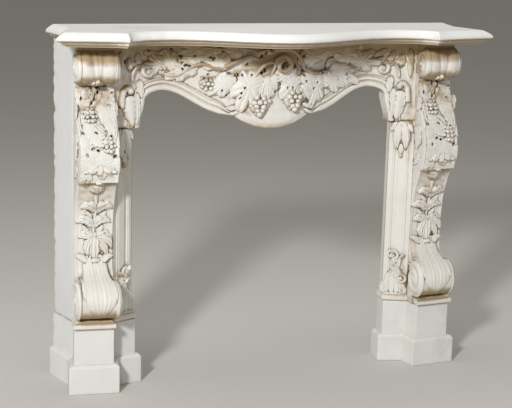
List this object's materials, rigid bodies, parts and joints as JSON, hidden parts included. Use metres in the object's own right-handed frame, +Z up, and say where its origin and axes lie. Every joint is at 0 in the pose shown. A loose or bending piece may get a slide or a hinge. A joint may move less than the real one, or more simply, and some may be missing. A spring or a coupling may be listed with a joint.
{
  "type": "fireplace mantel",
  "caption": "Carved white marble fireplace mantel: serpentine shelf, arched vine frieze and scrolled console jambs on stepped plinths.",
  "frame": {"origin": "on the floor, in the middle of the bounding box in plan", "axes": "+X to the right seen from the room, +Y into the wall, +Z up; the wall plane is y = +0.19 m"},
  "size_m": [1.376, 0.38, 1.1],
  "materials": {
    "shelf_marble": "honed, cool grey-white with faint veins",
    "carved_marble": "aged satin ivory white, warmer in the hollows",
    "plain_marble": "honed, cool white with faint veins",
    "plinth_marble": "honed, slightly stained and pitted"
  },
  "bodies": {
    "root": {"shelf": "shelf_marble", "frieze": "carved_marble", "jamb_left": "carved_marble", "slip_left": "carved_marble", "side_panel_left": "plain_marble", "plinth_left": "plinth_marble", "side_plinth_left": "plinth_marble", "jamb_right": "carved_marble", "slip_right": "carved_marble", "side_panel_right": "plain_marble", "plinth_right": "plinth_marble", "side_plinth_right": "plinth_marble"}
  },
  "joints": []
}
